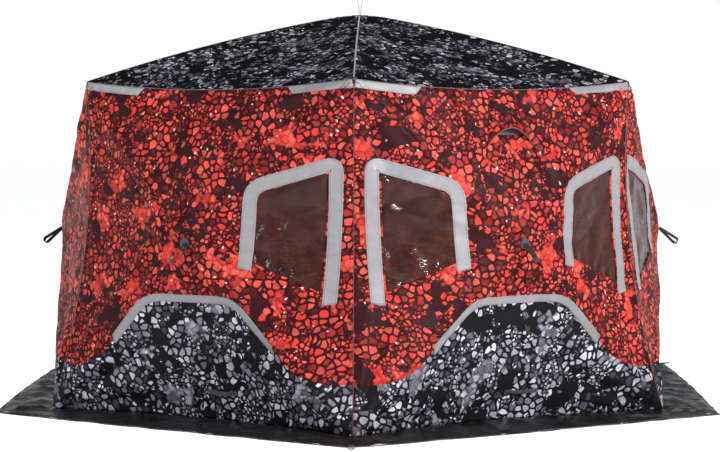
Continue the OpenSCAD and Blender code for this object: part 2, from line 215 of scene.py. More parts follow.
U = np.linspace(-1, 1, 97)[:-1]
V = np.linspace(0, 1, 97)[:-1]
RIM = np.vstack([base_line(U), seam_line(1, V), eave_line(-U), seam_line(-1, 1 - V)])
RIM_ANGLE = np.arctan2(RIM[:, 2] - HUB_H, RIM[:, 1])
RIM_ORDER = np.argsort(RIM_ANGLE)
RIM_YZ = RIM[::2, 1:]


def rim_at(angle):
    """The rim's point in each direction from the hub."""
    a, r = RIM_ANGLE[RIM_ORDER], RIM[RIM_ORDER]
    return np.stack([np.interp(angle, a, r[:, i], period=2 * math.pi) for i in range(3)], -1)


def cone_x(yz):
    """How far out the smooth wall stands at each (across, height) point."""
    d = yz - [0, HUB_H]
    rim = rim_at(np.arctan2(d[:, 1], d[:, 0]))
    full = np.linalg.norm(rim[:, 1:] - [0, HUB_H], axis=1)
    t = np.clip((np.linalg.norm(d, axis=1) - FLAT_R) / (full - FLAT_R), 0, 1.02)
    return FACE_X + (rim[:, 0] - FACE_X) * t


def fan(yz, centre, towards, spread, count, height, reach, seed):
    """Ridges that run out from a point, highest at a third of their reach."""
    d = yz - centre
    r = np.linalg.norm(d, axis=1)
    angle = np.arctan2(d[:, 1], d[:, 0]) - math.radians(towards)
    angle = (angle + math.pi) % (2 * math.pi) - math.pi
    wander = 0.5 * noise(r / (reach * .5), angle * 3, seed)
    wave = np.sin(angle * count + wander + seed)
    crest = np.sign(wave) * np.abs(wave) ** 1.4
    uneven = .65 + .6 * noise(angle * count / 4, r / reach, seed + 3)
    x = r / (reach / 3)
    return height * crest * uneven * x * np.exp(1 - x) * smooth((math.radians(spread) - np.abs(angle)) * 3)


def wrinkles(k, yz):
    """How far the cloth stands out from the smooth wall: folds, creases and puckers."""
    y, z = yz[:, 0], yz[:, 1]
    out = np.zeros(len(yz))
    for side in (-1, 1):
        top, foot = (side * .885, 1.850), (side * .985, .010)
        lean = 0 if side < 0 else 180
        out += fan(yz, top, lean - side * -38, 50, 14, .0130, .66, k + side)
        out += fan(yz, foot, lean + side * -42, 52, 17, .0180, .62, k + 4 * side)
    out += fan(yz, (0, HUB_H), 0, 181, 18, .0060, .40, k)
    out += .0045 * noise(y * 3.1 + k * 7, z * 2.3, k)
    out += .0024 * noise(y * 11 + k, z * 9, k + 9)
    soft = ridged(y * 2.6 + z * 1.7 + k * 3, z * 2.1 - y * 1.3, k + 5)
    out -= .0110 * (soft - .35)
    fine = ridged(y * 7.0 - z * 3.0 + k, z * 6.0 + y * 2.0, k + 15)
    out -= .0036 * (fine - .3)
    hang = smooth((z - 1.25) / .5) * np.sin(y * 34 + 2.2 * noise(y * 2, z * 1.5, k))
    out += .0026 * hang
    if k in VENTED:
        for side in (-1, 1):
            out += fan(yz, (.02 + side * .07, 1.800), -90 + side * 26, 30, 22, .0085, .50, k + side)
    if k == DOOR_WALL:
        lower = np.array([(-.900, .282), (-.308, .945)])
        out += .016 * np.exp(-(distance_to(yz, lower) / .018) ** 2)
        out += .006 * np.sin(distance_to(yz, lower) * 60) * np.exp(-distance_to(yz, lower) / .10)
        upper = np.array([(-.840, 1.562), (-.470, 1.342)])
        out *= .15 + .85 * smooth((distance_to(yz, upper) - .015) / .05)
    hold = smooth((distance_to(yz, RIM_YZ, True) - .004) / .035)
    washer = smooth((np.linalg.norm(yz - [0, HUB_H], axis=1) - .050) / .060)
    return out * hold * washer


def wall_points(k, yz, out=0.0, extra=0.0):
    """Points of the cloth of wall k in the row frame, out metres proud of it along its normal."""
    yz = np.asarray(yz, float)
    e = .004
    x = cone_x(yz)
    slope = np.stack([(cone_x(yz + [e, 0]) - cone_x(yz - [e, 0])) / (2 * e),
                      (cone_x(yz + [0, e]) - cone_x(yz - [0, e])) / (2 * e)], -1)
    normal = np.stack([np.ones(len(yz)), -slope[:, 0], -slope[:, 1]], -1)
    normal /= np.linalg.norm(normal, axis=1)[:, None]
    stand = wrinkles(k, yz) + out + extra
    return turned(np.column_stack([x, yz]) + normal * stand[:, None], wall_turn(k))


def facet_of(yz):
    """0 right, 1 top, 2 left, 3 bottom: which of the wall's four triangles a point lies in."""
    angle = np.arctan2(yz[:, 1] - HUB_H, yz[:, 0])
    top = math.atan2(EAVE_H - HUB_H, EAVE_R * math.sin(HALF))
    foot = math.atan2(HUB_H - SKIRT_T, BASE_R * math.sin(HALF))
    facet = np.full(len(yz), 3)
    facet[(angle > -foot) & (angle <= top)] = 0
    facet[(angle > top) & (angle <= math.pi - top)] = 1
    facet[(angle > math.pi - top) | (angle <= -math.pi + foot)] = 2
    return facet


# ---------- mesh making ----------
def new_object(name, points, faces, materials, uvs=None, face_materials=None):
    """A smooth-shaded mesh object; uvs is one (u, v) for each point, in metres along the cloth."""
    mesh = bpy.data.meshes.new(name)
    mesh.from_pydata([tuple(p) for p in np.asarray(points, float)], [], [tuple(map(int, f)) for f in faces])
    for material in materials:
        mesh.materials.append(material)
    if uvs is not None:
        layer = mesh.uv_layers.new(name="cloth")
        corner = np.zeros(len(mesh.loops), int)
        mesh.loops.foreach_get("vertex_index", corner)
        layer.data.foreach_set("uv", np.asarray(uvs, float)[corner].astype(np.float32).ravel())
    if face_materials is not None:
        mesh.polygons.foreach_set("material_index", np.asarray(face_materials, int))
    mesh.shade_smooth()
    mesh.update()
    obj = bpy.data.objects.new(name, mesh)
    bpy.context.scene.collection.objects.link(obj)
    return obj


def thicken(obj, thickness, inner=None):
    """Gives a sheet its thickness, behind the face that is seen."""
    m = obj.modifiers.new("thickness", "SOLIDIFY")
    m.thickness, m.offset = thickness, -1
    if inner is not None:
        m.material_offset = inner
        m.material_offset_rim = 0
    return obj


def subset(points, faces, uvs, keep):
    """The points that some of the faces use, and those faces renumbered."""
    faces = np.asarray(faces)[keep]
    used, inverse = np.unique(faces, return_inverse=True)
    return points[used], inverse.reshape(faces.shape), uvs[used]


def triangulated(outline, holes, lines, spacing):
    """Even triangles over an outline with holes, with edges along the given lines."""
    rings = [dense(outline, spacing)] + [dense(h, spacing * .7) for h in holes]
    open_lines = [dense(line, spacing, False) for line in lines]
    points, edges = [], []
    for ring in rings:
        n = len(points)
        points += list(ring)
        edges += [(n + i, n + (i + 1) % len(ring)) for i in range(len(ring))]
    for line in open_lines:
        n = len(points)
        points += list(line)
        edges += [(n + i, n + i + 1) for i in range(len(line) - 1)]
    low, high = outline.min(0), outline.max(0)
    rows = np.arange(low[1], high[1], spacing * .866)
    cols = np.arange(low[0], high[0], spacing)
    grid = np.array([(x + (i % 2) * spacing / 2, z) for i, z in enumerate(rows) for x in cols])
    grid = grid[inside(grid, outline)]
    clear = np.ones(len(grid), bool)
    for ring in rings:
        clear &= distance_to(grid, ring, True) > spacing * .45
    for line in open_lines:
        clear &= distance_to(grid, line) > spacing * .45
    points += list(grid[clear])
    found = delaunay_2d_cdt([Vector(p) for p in points], edges, [], 0, 1e-6, False)
    points = np.array([tuple(p) for p in found[0]])
    faces = np.array(found[2])
    middle = points[faces].mean(1)
    keep = inside(middle, dense(outline, spacing))
    for hole in holes:
        keep &= ~inside(middle, hole)
    faces = faces[keep]
    a, b, c = (points[faces[:, i]] for i in range(3))
    turn = (b[:, 0] - a[:, 0]) * (c[:, 1] - a[:, 1]) - (b[:, 1] - a[:, 1]) * (c[:, 0] - a[:, 0])
    faces[turn < 0] = faces[turn < 0][:, ::-1]
    return points, faces[np.abs(turn) > 1e-10]


def blend_facet(obj, facet):
    """Works out the foot of the wall's hub on the facet's edge (the eave, a seam or the hem), drawn a little towards
    the hub, and bakes the piece's placement into its points.
    """
    hub = np.array([FACE_X, 0, HUB_H])
    top_x, foot_x = EAVE_R * math.cos(HALF), BASE_R * math.cos(HALF)
    top_y, foot_y = EAVE_R * math.sin(HALF), BASE_R * math.sin(HALF)
    seam = np.array([foot_x - top_x, 0, SKIRT_T - EAVE_H])
    edges = {"top": (np.array([top_x, 0, EAVE_H]), np.array([0, 1, 0])),
             "bottom": (np.array([foot_x, 0, SKIRT_T]), np.array([0, 1, 0])),
             "right": (np.array([top_x, top_y, EAVE_H]), seam + [0, foot_y - top_y, 0]),
             "left": (np.array([top_x, -top_y, EAVE_H]), seam + [0, top_y - foot_y, 0])}
    start, along = edges[FACETS[facet]]
    along = along / np.linalg.norm(along)
    foot = start + ((hub - start) @ along) * along
    foot = foot + (hub - foot) * .055
    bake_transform(obj)
    return obj


def wall_pieces(name, k, yz, faces, materials, out=0.0, thickness=CLOTH_T, extra=0.0, face_materials=None,
                uvs=None, inner=None):
    """One object for each of the wall's triangles that the faces lie in."""
    points = wall_points(k, yz, out, extra)
    uvs = yz + [k * 2.7, 0] if uvs is None else uvs
    facet = facet_of(yz[faces].mean(1))
    made = []
    for f in sorted(set(facet)):
        keep = facet == f
        p, q, t = subset(points, faces, uvs, keep)
        chosen = None if face_materials is None else face_materials[keep]
        obj = new_object(f"{name}_{k}_{FACETS[f]}", p, q, materials, t, chosen)
        blend_facet(obj, f)
        thicken(obj, thickness, inner)
        made.append(obj)
    return made


def strip(path, width, step=.014, ends=(0, 0)):
    """A tape along a path: points, faces and (along, across) metres. ends slants its two ends."""
    path = dense(path, step, False)
    along = np.gradient(path, axis=0)
    along /= np.linalg.norm(along, axis=1)[:, None]
    side = np.stack([-along[:, 1], along[:, 0]], -1)
    run = np.concatenate([[0], np.cumsum(np.linalg.norm(np.diff(path, axis=0), axis=1))])
    rows = np.array([-.5, -.44, -.2, .2, .44, .5])
    fade = [np.clip(1 - run / .05, 0, 1), np.clip(1 - (run[-1] - run) / .05, 0, 1)]
    points, uvs = [], []
    for row in rows:
        slip = row * (ends[0] * fade[0] + ends[1] * fade[1])
        points.append(path + side * row * width + along * slip[:, None])
        uvs.append(np.stack([run, np.full(len(run), row * width)], -1))
    n, m = len(path), len(rows)
    faces = [(j * n + i, j * n + i + 1, (j + 1) * n + i + 1, (j + 1) * n + i)
             for j in range(m - 1) for i in range(n - 1)]
    return np.vstack(points), np.array(faces), np.vstack(uvs)


# ---------- materials ----------
def material(name):
    mat = bpy.data.materials.new(name)
    mat.use_nodes = True
    tree = mat.node_tree
    return mat, tree, tree.nodes["Principled BSDF"]


def node(tree, kind, links=(), **values):
    """A node with its sockets set: links are (input, output socket), values name its settings."""
    made = tree.nodes.new(kind)
    for key, value in values.items():
        if hasattr(made, key):
            setattr(made, key, value)
        else:
            made.inputs[key.replace("_", " ")].default_value = value
    for key, socket in links:
        tree.links.new(socket, made.inputs[key])
    return made


def ramp(tree, socket, stops, constant=False):
    made = tree.nodes.new("ShaderNodeValToRGB")
    made.color_ramp.interpolation = "CONSTANT" if constant else "LINEAR"
    while len(made.color_ramp.elements) < len(stops):
        made.color_ramp.elements.new(0.5)
    for element, (at, colour) in zip(made.color_ramp.elements, stops):
        element.position = at
        element.color = (*colour, 1) if len(colour) == 3 else colour
    tree.links.new(socket, made.inputs[0])
    return made.outputs[0]


def maths(tree, operation, a, b=0.5, clamp=False):
    made = tree.nodes.new("ShaderNodeMath")
    made.operation, made.use_clamp = operation, clamp
    for i, value in enumerate((a, b)):
        if isinstance(value, (int, float)):
            made.inputs[i].default_value = value
        else:
            tree.links.new(value, made.inputs[i])
    return made.outputs[0]


def mixed(tree, factor, a, b, blend="MIX"):
    made = tree.nodes.new("ShaderNodeMix")
    made.data_type, made.blend_type = "RGBA", blend
    for key, value in (("Factor", factor), ("A", a), ("B", b)):
        socket = [s for s in made.inputs if s.name == key and s.type == ("VALUE" if key == "Factor" else "RGBA")][0]
        if isinstance(value, (int, float)):
            socket.default_value = value
        elif isinstance(value, tuple):
            socket.default_value = (*value, 1)
        else:
            tree.links.new(value, socket)
    return [s for s in made.outputs if s.type == "RGBA"][0]


def cloth_uv(tree):
    return node(tree, "ShaderNodeUVMap", uv_map="cloth").outputs[0]


def noise_at(tree, vector, scale, detail=2.0, rough=.5):
    made = node(tree, "ShaderNodeTexNoise", [("Vector", vector)], Scale=scale, Detail=detail, Roughness=rough)
    return made.outputs["Fac"]


def bump(tree, height, strength, distance, normal=None):
    links = [("Height", height)] + ([("Normal", normal)] if normal else [])
    return node(tree, "ShaderNodeBump", links, Strength=strength, Distance=distance).outputs[0]


def weave(tree, vector, pitch, strength, distance, normal=None):
    """Crossed threads, as bump."""
    across = node(tree, "ShaderNodeTexWave", [("Vector", vector)], Scale=.314 / pitch, bands_direction="X")
    up = node(tree, "ShaderNodeTexWave", [("Vector", vector)], Scale=.314 / pitch, bands_direction="Y")
    both = maths(tree, "ADD", across.outputs["Fac"], up.outputs["Fac"])
    return bump(tree, both, strength, distance, normal)


def drifted(tree, vector, scale, loose):
    """The same coordinates pushed about, so that no edge drawn with them is straight."""
    drift = node(tree, "ShaderNodeTexNoise", [("Vector", vector)], Scale=scale * .9, Detail=2.0)
    nudge = node(tree, "ShaderNodeVectorMath", [(0, drift.outputs["Color"])], operation="SUBTRACT")
    nudge.inputs[1].default_value = (.5, .5, .5)
    small = node(tree, "ShaderNodeVectorMath", [(0, nudge.outputs[0])], operation="SCALE")
    small.inputs["Scale"].default_value = loose / scale
    return node(tree, "ShaderNodeVectorMath", [(0, vector), (1, small.outputs[0])], operation="ADD").outputs[0]


def stones(tree, vector, scale, gap, sharp=9.0):
    """Rounded stones: (0 in a gap to 1 on a stone, three random numbers for each stone)."""
    near = node(tree, "ShaderNodeTexVoronoi", [("Vector", vector)], Scale=scale, voronoi_dimensions="2D")
    far = node(tree, "ShaderNodeTexVoronoi", [("Vector", vector)], Scale=scale, voronoi_dimensions="2D",
               feature="F2")
    apart = maths(tree, "SUBTRACT", far.outputs["Distance"], near.outputs["Distance"])
    mask = maths(tree, "MULTIPLY", maths(tree, "SUBTRACT", apart, gap), sharp, True)
    return mask, node(tree, "ShaderNodeSeparateColor", [("Color", near.outputs["Color"])]).outputs


def print_of(tree, uv, dark, shades, patches, painted_glint, scale, gap, dark_share):
    """The printed pattern: stones of two sizes with dark gaps, lost ones in shadow and merged bright ones, with tiny
    pale specks on top that are painted highlights (glints), not print.
    """
    place = drifted(tree, uv, scale, .42)
    mask, pick = stones(tree, place, scale, gap)
    fine_mask, fine_pick = stones(tree, place, scale * 1.75, gap * 1.3)
    where_fine = maths(tree, "GREATER_THAN", noise_at(tree, uv, scale * .30, 2.0), .54)
    base = mixed(tree, where_fine, ramp(tree, pick[0], shades, True), ramp(tree, fine_pick[0], shades, True))
    solid = node(tree, "ShaderNodeSeparateColor", [("Color", mixed(tree, where_fine, mask, fine_mask))]).outputs[0]
    merged = maths(tree, "MULTIPLY", maths(tree, "SUBTRACT", noise_at(tree, place, scale * .20, 3.0, .55), .585),
                   22.0, True)
    base = mixed(tree, merged, base, ramp(tree, pick[2], patches, True))
    crease = maths(tree, "MULTIPLY", maths(tree, "ADD", mask, .62, True), merged)
    solid = maths(tree, "MAXIMUM", solid, crease)
    lost = maths(tree, "LESS_THAN", noise_at(tree, uv, scale * .17, 3.0, .6), dark_share)
    lost = maths(tree, "MULTIPLY", lost, maths(tree, "LESS_THAN", pick[1], .68))
    solid = maths(tree, "MULTIPLY", solid, maths(tree, "SUBTRACT", 1.0, lost))
    cloudy = ramp(tree, noise_at(tree, uv, scale * 1.7, 3.0, .6), [(.3, (.62,) * 3), (.72, (1.15,) * 3)])
    printed = mixed(tree, solid, dark, mixed(tree, 1.0, base, cloudy, "MULTIPLY"))
    # Tiny pale specks: painted highlights, glints of light off the coated cloth put into its colour
    glint_spot_mask, glint_spot_pick = stones(tree, place, scale * 2.6, .30)
    painted_glint_spots = maths(tree, "MULTIPLY", glint_spot_mask, maths(tree, "GREATER_THAN", glint_spot_pick[0], .982))
    return mixed(tree, painted_glint_spots, printed, painted_glint)


def camouflage(name, look, rough=.46, gloss=.05):
    """Printed and coated polyester: the pattern with its painted glints, a faint weave, crumples and mottled gloss."""
    mat, tree, shader = material(name)
    uv = cloth_uv(tree)
    printed = print_of(tree, uv, **look)
    worn = maths(tree, "MULTIPLY", noise_at(tree, uv, 3.0, 4.0, .7), .012)
    tree.links.new(mixed(tree, worn, printed, (.40, .36, .36)), shader.inputs["Base Color"])
    roughness = ramp(tree, noise_at(tree, uv, 9.0, 3.0), [(.3, (rough - .08,) * 3), (.75, (rough + .12,) * 3)])
    tree.links.new(roughness, shader.inputs["Roughness"])
    crumple = bump(tree, noise_at(tree, uv, 24.0, 4.0, .55), .30, .008)
    tree.links.new(weave(tree, uv, .0011, .10, .0004, crumple), shader.inputs["Normal"])
    shader.inputs["Specular IOR Level"].default_value = gloss
    return mat


def cloth_back(name, look, painted_glow):
    """The cloth's inner face: the print shows through it dimly, and the face glows with that dimmed print, painted
    light standing in for daylight coming through the cloth from outside.
    """
    mat, tree, shader = material(name)
    uv = cloth_uv(tree)
    printed = print_of(tree, uv, **look)
    dim = mixed(tree, 1.0, printed, (.80, .72, .72), "MULTIPLY")
    tree.links.new(dim, shader.inputs["Base Color"])
    tree.links.new(dim, shader.inputs["Emission Color"])
    shader.inputs["Emission Strength"].default_value = painted_glow
    tree.links.new(weave(tree, uv, .0012, .3, .0005), shader.inputs["Normal"])
    shader.inputs["Roughness"].default_value = .6
    shader.inputs["Specular IOR Level"].default_value = .2
    return mat


def tape_cloth():
    """Pale reflective tape with a fine diamond weave and a row of stitches near each edge."""
    mat, tree, shader = material("tape_cloth")
    uv = cloth_uv(tree)
    split = node(tree, "ShaderNodeSeparateXYZ", [("Vector", uv)])
    tone = noise_at(tree, uv, 22.0, 4.0, .6)
    pale = ramp(tree, tone, [(.25, (.175, .170, .178)), (.8, (.230, .222, .232))])
    row = maths(tree, "ABSOLUTE", maths(tree, "SUBTRACT", maths(tree, "ABSOLUTE", split.outputs[1]), .0165))
    on_row = maths(tree, "LESS_THAN", row, .0009)
    dash = maths(tree, "GREATER_THAN", maths(tree, "FRACT", maths(tree, "MULTIPLY", split.outputs[0], 250.0)), .3)
    stitch = maths(tree, "MULTIPLY", on_row, dash)
    tree.links.new(mixed(tree, stitch, pale, (.10, .10, .105)), shader.inputs["Base Color"])
    sewn = bump(tree, maths(tree, "SUBTRACT", 1.0, on_row), .6, .0006)
    soft = bump(tree, noise_at(tree, uv, 60.0, 3.0), .25, .002, sewn)
    tree.links.new(weave(tree, uv, .0013, .22, .0004, soft), shader.inputs["Normal"])
    tree.links.new(ramp(tree, tone, [(.2, (.36,) * 3), (.8, (.55,) * 3)]), shader.inputs["Roughness"])
    shader.inputs["Metallic"].default_value = .10
    return mat


def clear_film():
    """Smoky clear vinyl with sharp creases that catch the light."""
    mat, tree, shader = material("clear_film")
    uv = cloth_uv(tree)
    tint = ramp(tree, noise_at(tree, uv, 9.0, 4.0, .65), [(.3, (.016, .005, .004)), (.75, (.060, .018, .014))])
    tree.links.new(tint, shader.inputs["Base Color"])
    crease = bump(tree, noise_at(tree, uv, 30.0, 5.0, .6), .45, .006)
    tree.links.new(bump(tree, noise_at(tree, uv, 7.0, 2.0), .4, .015, crease), shader.inputs["Normal"])
    smear = ramp(tree, noise_at(tree, uv, 18.0, 3.0), [(.35, (.05,) * 3), (.8, (.16,) * 3)])
    tree.links.new(smear, shader.inputs["Roughness"])
    shader.inputs["IOR"].default_value = 1.5
    shader.inputs["Specular IOR Level"].default_value = .28
    shader.inputs["Alpha"].default_value = .74
    return mat


def dark_vinyl():
    """The skirt's shiny black coated cloth, dusty where it has been trodden."""
    mat, tree, shader = material("dark_vinyl")
    uv = cloth_uv(tree)
    dust = noise_at(tree, uv, 5.0, 6.0, .7)
    tree.links.new(ramp(tree, dust, [(.4, (.0035, .0035, .004)), (.85, (.014, .0135, .0135))]),
                   shader.inputs["Base Color"])
    tree.links.new(ramp(tree, dust, [(.35, (.24,) * 3), (.8, (.50,) * 3)]), shader.inputs["Roughness"])
    shader.inputs["Specular IOR Level"].default_value = .24
    crumple = bump(tree, noise_at(tree, uv, 17.0, 5.0, .6), .5, .008)
    tree.links.new(weave(tree, uv, .0013, .15, .0005, crumple), shader.inputs["Normal"])
    return mat


def webbing(name, pitch=.0016, colour=(.012, .012, .013), rows=()):
    """Woven tape: ribs across it and a twill grain; uses the object's own coordinates without a cloth map."""
    mat, tree, shader = material(name)
    place = node(tree, "ShaderNodeTexCoord").outputs["Object"]
    tone = noise_at(tree, place, 60.0, 4.0, .6)
    lighter = tuple(2.6 * c for c in colour)
    tree.links.new(ramp(tree, tone, [(.3, colour), (.85, lighter)]), shader.inputs["Base Color"])
    ribs = node(tree, "ShaderNodeTexWave", [("Vector", place)], Scale=.314 / pitch, bands_direction="DIAGONAL")
    tree.links.new(bump(tree, ribs.outputs["Fac"], .5, .0006), shader.inputs["Normal"])
    shader.inputs["Roughness"].default_value = .62
    shader.inputs["Sheen Weight"].default_value = .3
    return mat


def moulded(name, colour, rough, scale=90.0, metal=0.0, streak=False):
    """Moulded plastic or plated metal: a fine grain, mottled gloss and paler worn high spots."""
    mat, tree, shader = material(name)
    place = node(tree, "ShaderNodeTexCoord").outputs["Object"]
    grain = noise_at(tree, place, scale * 8, 2.0)
    marks = noise_at(tree, place, scale * .4, 5.0, .65)
    worn = ramp(tree, marks, [(.45, colour), (.8, tuple(min(1, c * 1.7 + .012) for c in colour))])
    tree.links.new(worn, shader.inputs["Base Color"])
    tree.links.new(ramp(tree, marks, [(.3, (rough,) * 3), (.8, (min(1, rough + .2),) * 3)]),
                   shader.inputs["Roughness"])
    tree.links.new(bump(tree, grain, .18, .0004), shader.inputs["Normal"])
    shader.inputs["Metallic"].default_value = metal
    return mat


# Each print's painted_glint colour is for the tiny painted highlights on its stones
RED = {
    "dark": (.022, .0030, .0050), "painted_glint": (.62, .34, .32), "scale": 25.0, "gap": .205, "dark_share": .42,
    "shades": [(0, (.50, .034, .024)), (.22, (.27, .020, .017)), (.40, (.64, .070, .048)), (.60, (.17, .011, .011)),
               (.74, (.40, .055, .042)), (.90, (.080, .007, .009))],
    "patches": [(0, (.60, .046, .032)), (.40, (.70, .085, .060)), (.75, (.42, .026, .021))]}
GREY = {
    "dark": (.0045, .0045, .0055), "painted_glint": (.58, .58, .62), "scale": 25.0, "gap": .21, "dark_share": .46,
    "shades": [(0, (.28, .26, .32)), (.20, (.105, .098, .128)), (.38, (.41, .39, .46)), (.58, (.038, .036, .047)),
               (.72, (.18, .17, .215)), (.90, (.55, .54, .60))],
    "patches": [(0, (.105, .098, .128)), (.45, (.33, .31, .38)), (.75, (.20, .19, .235))]}
ROOF = {
    "dark": (.0030, .0030, .0036), "painted_glint": (.46, .46, .50), "scale": 25.0, "gap": .20, "dark_share": .50,
    "shades": [(0, (.135, .128, .155)), (.20, (.030, .028, .036)), (.42, (.24, .23, .27)), (.60, (.010, .010, .012)),
               (.74, (.068, .064, .082)), (.92, (.34, .33, .37))],
    "patches": [(0, (.042, .040, .051)), (.45, (.18, .172, .21)), (.75, (.085, .080, .100))]}

RED_CLOTH = camouflage("red_cloth", RED)
GREY_CLOTH = camouflage("grey_cloth", GREY)
ROOF_CLOTH = camouflage("roof_cloth", ROOF, .55, 0.0)
# The inner faces glow (emission 1.3): painted light standing in for daylight through the cloth, so that the windows
# show a lit inside
RED_BACK = cloth_back("red_cloth_back", RED, 1.3)
GREY_BACK = cloth_back("grey_cloth_back", GREY, 1.3)
ROOF_BACK = cloth_back("roof_cloth_back", ROOF, 1.3)
TAPE = tape_cloth()
FILM = clear_film()
VINYL = dark_vinyl()
WEBBING = webbing("black_webbing")
CORD = webbing("braided_cord", .0024)
MESH = webbing("vent_mesh", .0022, (.008, .008, .009))
ZIP = webbing("zip_tape", .0020, (.010, .010, .011))
PLASTIC = moulded("black_nylon", (.014, .014, .015), .42)
POLE = moulded("dark_fibreglass", (.030, .032, .036), .28, 40.0)
STEEL = moulded("plated_steel", (.52, .52, .53), .28, 60.0, 1.0)


# ---------- walls ----------
def wall_outline():
    """The wall's edge in (across, height), through the same points on both sides of every seam."""
    u, v = np.linspace(-1, 1, 101)[:-1], np.linspace(0, 1, 101)[:-1]
    rim = np.vstack([base_line(u), seam_line(1, v), eave_line(-u), seam_line(-1, 1 - v)])
    return rim[:, 1:]


def ring(radius, n=40):
    a = np.arange(n) * 2 * math.pi / n
    return np.stack([radius * np.cos(a), HUB_H + radius * np.sin(a)], -1)


def wall_holes(k):
    holes = [mirrored(WINDOW_HOLE, side) for w, side in WINDOWS if w == k]
    holes += [VENT_HOLE] if k in VENTED else []
    holes += [DOOR] if k == DOOR_WALL else []
    return holes + [ring(.014, 16)]


def clipped(line, keep_inside, step=.01):
    """The stretches of a line that lie inside an outline."""
    line = dense(line, step, False)
    hit = inside(line, keep_inside)
    runs, run = [], []
    for p, ok in zip(line, hit):
        if ok:
            run.append(p)
        elif run:
            runs.append(np.array(run))
            run = []
    return [r for r in runs + ([np.array(run)] if run else []) if len(r) > 1]


def make_wall(k):
    outline = wall_outline()
    corners = [seam_line(s, np.array([v]))[0, 1:] for s in (-1, 1) for v in (0, 1)]
    lines = [np.array([(0, HUB_H), c]) for c in corners]
    lines = [np.array([a + (c - a) * .02, a + (c - a) * .995]) for a, c in lines]
    hem = clipped(HEM_LINE, outline * [.994, 1])
    points, faces = triangulated(outline, wall_holes(k), lines + hem, .019)
    middle = points[faces].mean(1)
    hem_z = np.interp(middle[:, 0], HEM_LINE[:, 0], HEM_LINE[:, 1])
    grey = (middle[:, 1] < hem_z).astype(int)
    made = wall_pieces("wall_cloth", k, points, faces, [RED_CLOTH, GREY_CLOTH, RED_BACK, GREY_BACK],
                       face_materials=grey, inner=2)
    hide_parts(f"wall_panel_{k}")


def make_tapes(k):
    """Reflective tape round the windows, over the arch and along the eave."""
    paths = [(mirrored(WINDOW_TAPE, s)[::-s], WINDOW_TAPE_W, (.014, -.014)) for w, s in WINDOWS if w == k]
    paths.append((ARCH_TAPE, TAPE_W, (.030, -.030)))
    for side in (-1, 1):
        upper = [eave_line(np.array([side * u]))[0, 1:] for u in np.linspace(.56, .992, 12)]
        path = np.array(upper) - [0, .0225]
        paths.append((path[::side], TAPE_W, (-.040, 0) if side > 0 else (0, .040)))
    points, faces, uvs, n = [], [], [], 0
    for path, width, ends in paths:
        p, f, t = strip(path, width, ends=ends)
        t = t * [1, TAPE_W / width]
        points.append(p)
        faces.append(f + n)
        uvs.append(t)
        n += len(p)
    points, faces, uvs = np.vstack(points), np.vstack(faces), np.vstack(uvs)
    pucker = .0008 * np.sin(uvs[:, 0] * 210 + 3 * noise(uvs[:, 0] * 9, uvs[:, 1] * 30, k))
    pucker *= smooth((np.abs(uvs[:, 1]) - .006) / .015)
    made = wall_pieces("tape", k, points, faces, [TAPE], .0026, .0012, pucker, uvs=uvs)
    return made


def make_film(k, side):
    outline = mirrored(WINDOW_FILM, side)
    outline = outline[::side]
    points, faces = triangulated(outline, [], [], .012)
    y, z = points[:, 0] * side, points[:, 1]
    edge = smooth(distance_to(points, outline, True) / .06)
    belly = .004 * noise(y * 5 + k, z * 5, k + side) + .003 * noise(y * 14, z * 12, k)
    crossing = ridged(y * 6 + z * 5 + k, (z - y) * 1.4, k + 2) + .7 * ridged(y * 3 - z * 9, y + z, k + 6)
    foot = np.exp(-np.abs(z - (.885 - (y - .37) * .42)) / .035) * np.sin(y * 95 + 2 * noise(y * 9, z * 4, k))
    extra = (belly + .0055 * (crossing - .5) + .006 * foot) * edge
    return wall_pieces(f"window_film_{'left' if side < 0 else 'right'}", k, points, faces, [FILM], -.0035, .0008,
                       extra)


for k in WALLS:
    make_wall(k)
tapes = [make_tapes(k) for k in WALLS]
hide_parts("reflective_tape")
films = [make_film(k, side) for k, side in WINDOWS]
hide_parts("window_films")


# ---------- roof ----------
def roof_points(k, u, f, out=0.0):
    """Roof points over wall k: u runs along the eave from -1 to 1, f from the washer at 0 to the eave at 1."""
    u, f = np.broadcast_arrays(np.asarray(u, float), np.asarray(f, float))
    eave = eave_line(u.ravel())
    f = f.ravel()
    angle = np.arctan2(eave[:, 1], eave[:, 0])
    hub = np.stack([ROOF_FLAT_R * np.cos(angle), ROOF_FLAT_R * np.sin(angle), np.full(len(f), APEX_H)], -1)
    hub[:, :2] *= np.clip((f + .04) / .04, .2, 1)[:, None]
    g = np.clip(f, 0, 1)[:, None]
    p = hub + (eave + [0, 0, .002] - hub) * g
    p[:, 2] += ROOF_BOW * 4 * g[:, 0] * (1 - g[:, 0]) + out
    return turned(p, wall_turn(k))


def roof_wrinkles(k, u, f):
    across = u * f * .9
    along = f * 1.6
    between = smooth((1 - np.abs(u)) / .35)
    out = -.020 * (1 - u * u) * np.sin(math.pi * f) * .6
    out += between * .0050 * noise(across * 3 + k * 5, along * 2.2, k)
    out -= between * .0045 * (ridged(across * 2.2 + along * 1.2 + k, along * 1.6 - across, k + 3) - .3)
    out -= between * .0016 * (ridged(across * 7 + k, along * 6 + across * 2, k + 8) - .3)
    for side in (-1, 1):
        d = np.hypot((1 - side * u) * .89, (1 - f) * 1.6)
        angle = np.arctan2(1 - f, 1 - side * u)
        out += .0050 * np.sin(angle * 22 + k) * (d / .18) * np.exp(1 - d / .18) * between
    out += .0035 * np.sin(np.arctan2(across, along + .02) * 40 + k) * (along / .12) * np.exp(1 - along / .12) * between
    return out * smooth((1 - f) / .03) * smooth(f / .05)


